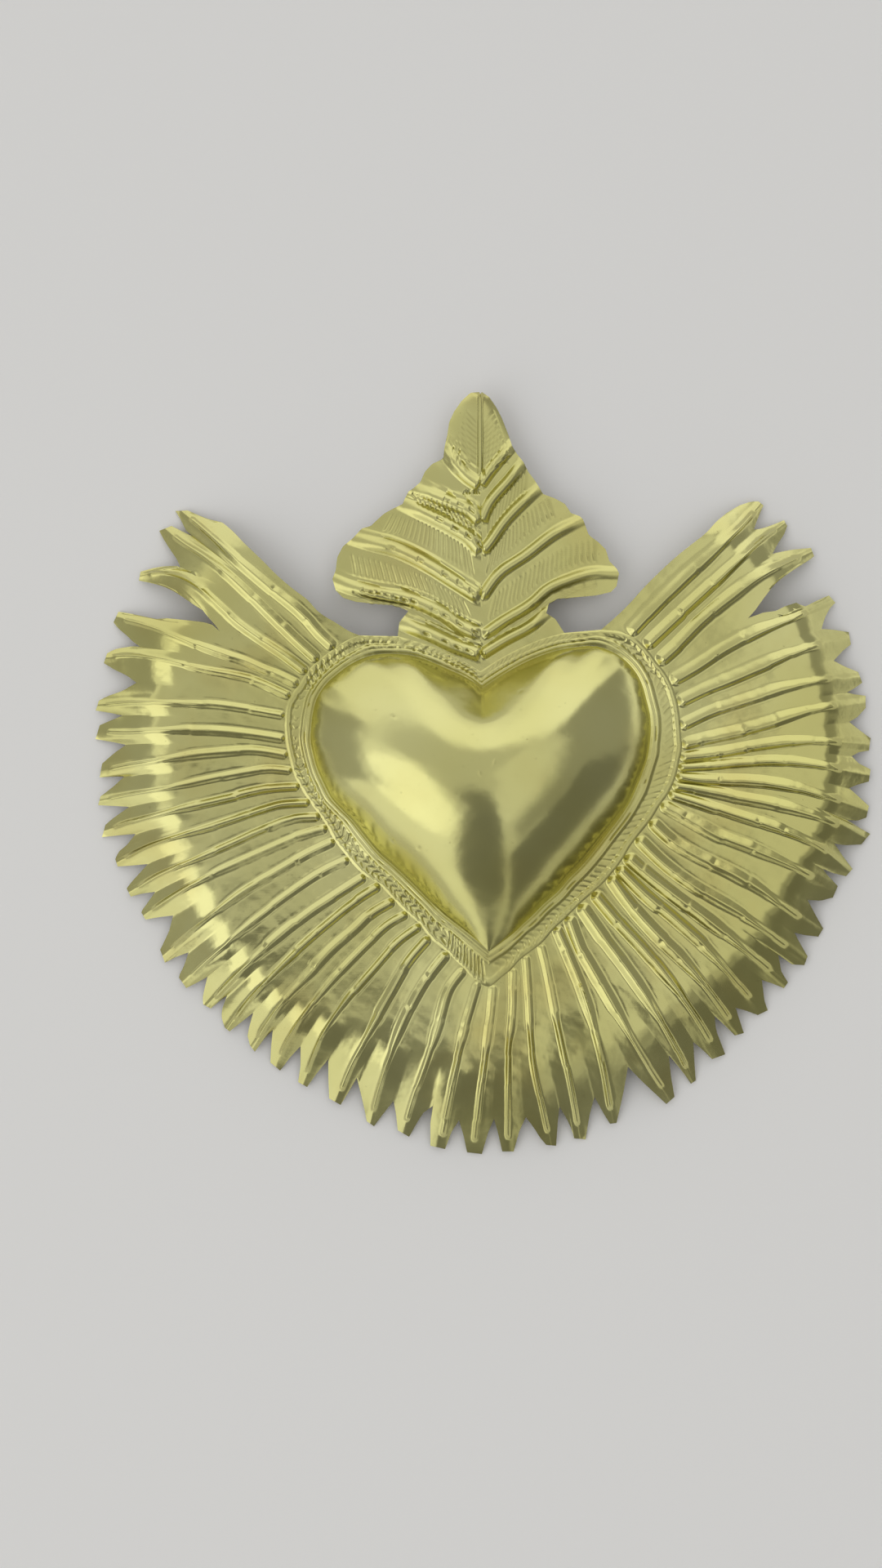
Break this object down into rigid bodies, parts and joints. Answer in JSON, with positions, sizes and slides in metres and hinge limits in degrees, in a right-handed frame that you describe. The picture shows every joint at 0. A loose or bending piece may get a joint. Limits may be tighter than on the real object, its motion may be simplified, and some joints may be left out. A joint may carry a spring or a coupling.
{
  "type": "heart milagro wall charm",
  "caption": "Embossed brass heart with a flame crest, feather wings and a fan of ridged rays, with a swinging ring on the back to hang it by.",
  "frame": {"origin": "middle of the outline, on the plane that the tooth tips rest on", "axes": "+Z out of the front of the heart, +Y from the heart's point to the crest, +X to the viewer's right"},
  "size_m": [0.24, 0.236, 0.031],
  "materials": {
    "heart_brass": "bright hammered brass with a green cast",
    "border_brass": "punched and chased brass",
    "crest_brass": "chased brass, slightly tarnished in the grooves",
    "feather_brass": "ridged and hammered brass",
    "ray_brass": "ridged and hammered brass",
    "strap_brass": "dull brass strip",
    "ring_wire": "drawn brass wire",
    "grey_solder": "dull soft solder"
  },
  "bodies": {
    "charm": {"heart_dome": "heart_brass", "roped_border": "border_brass", "flame_crest": "crest_brass", "left_wing": "feather_brass", "right_wing": "feather_brass", "left_ray_fan": "ray_brass", "lower_ray_fan": "ray_brass", "right_ray_fan": "ray_brass", "hanger_strap": "strap_brass", "strap_solder": "grey_solder"},
    "ring": {"hanger_ring": "ring_wire"}
  },
  "joints": [
    {"name": "ring_swing", "type": "hinge", "parent": "charm", "child": "ring", "pos_m": [0, 0.04793, 0.0075], "axis": [1, 0, 0], "range_deg": [-157, 22]}
  ]
}
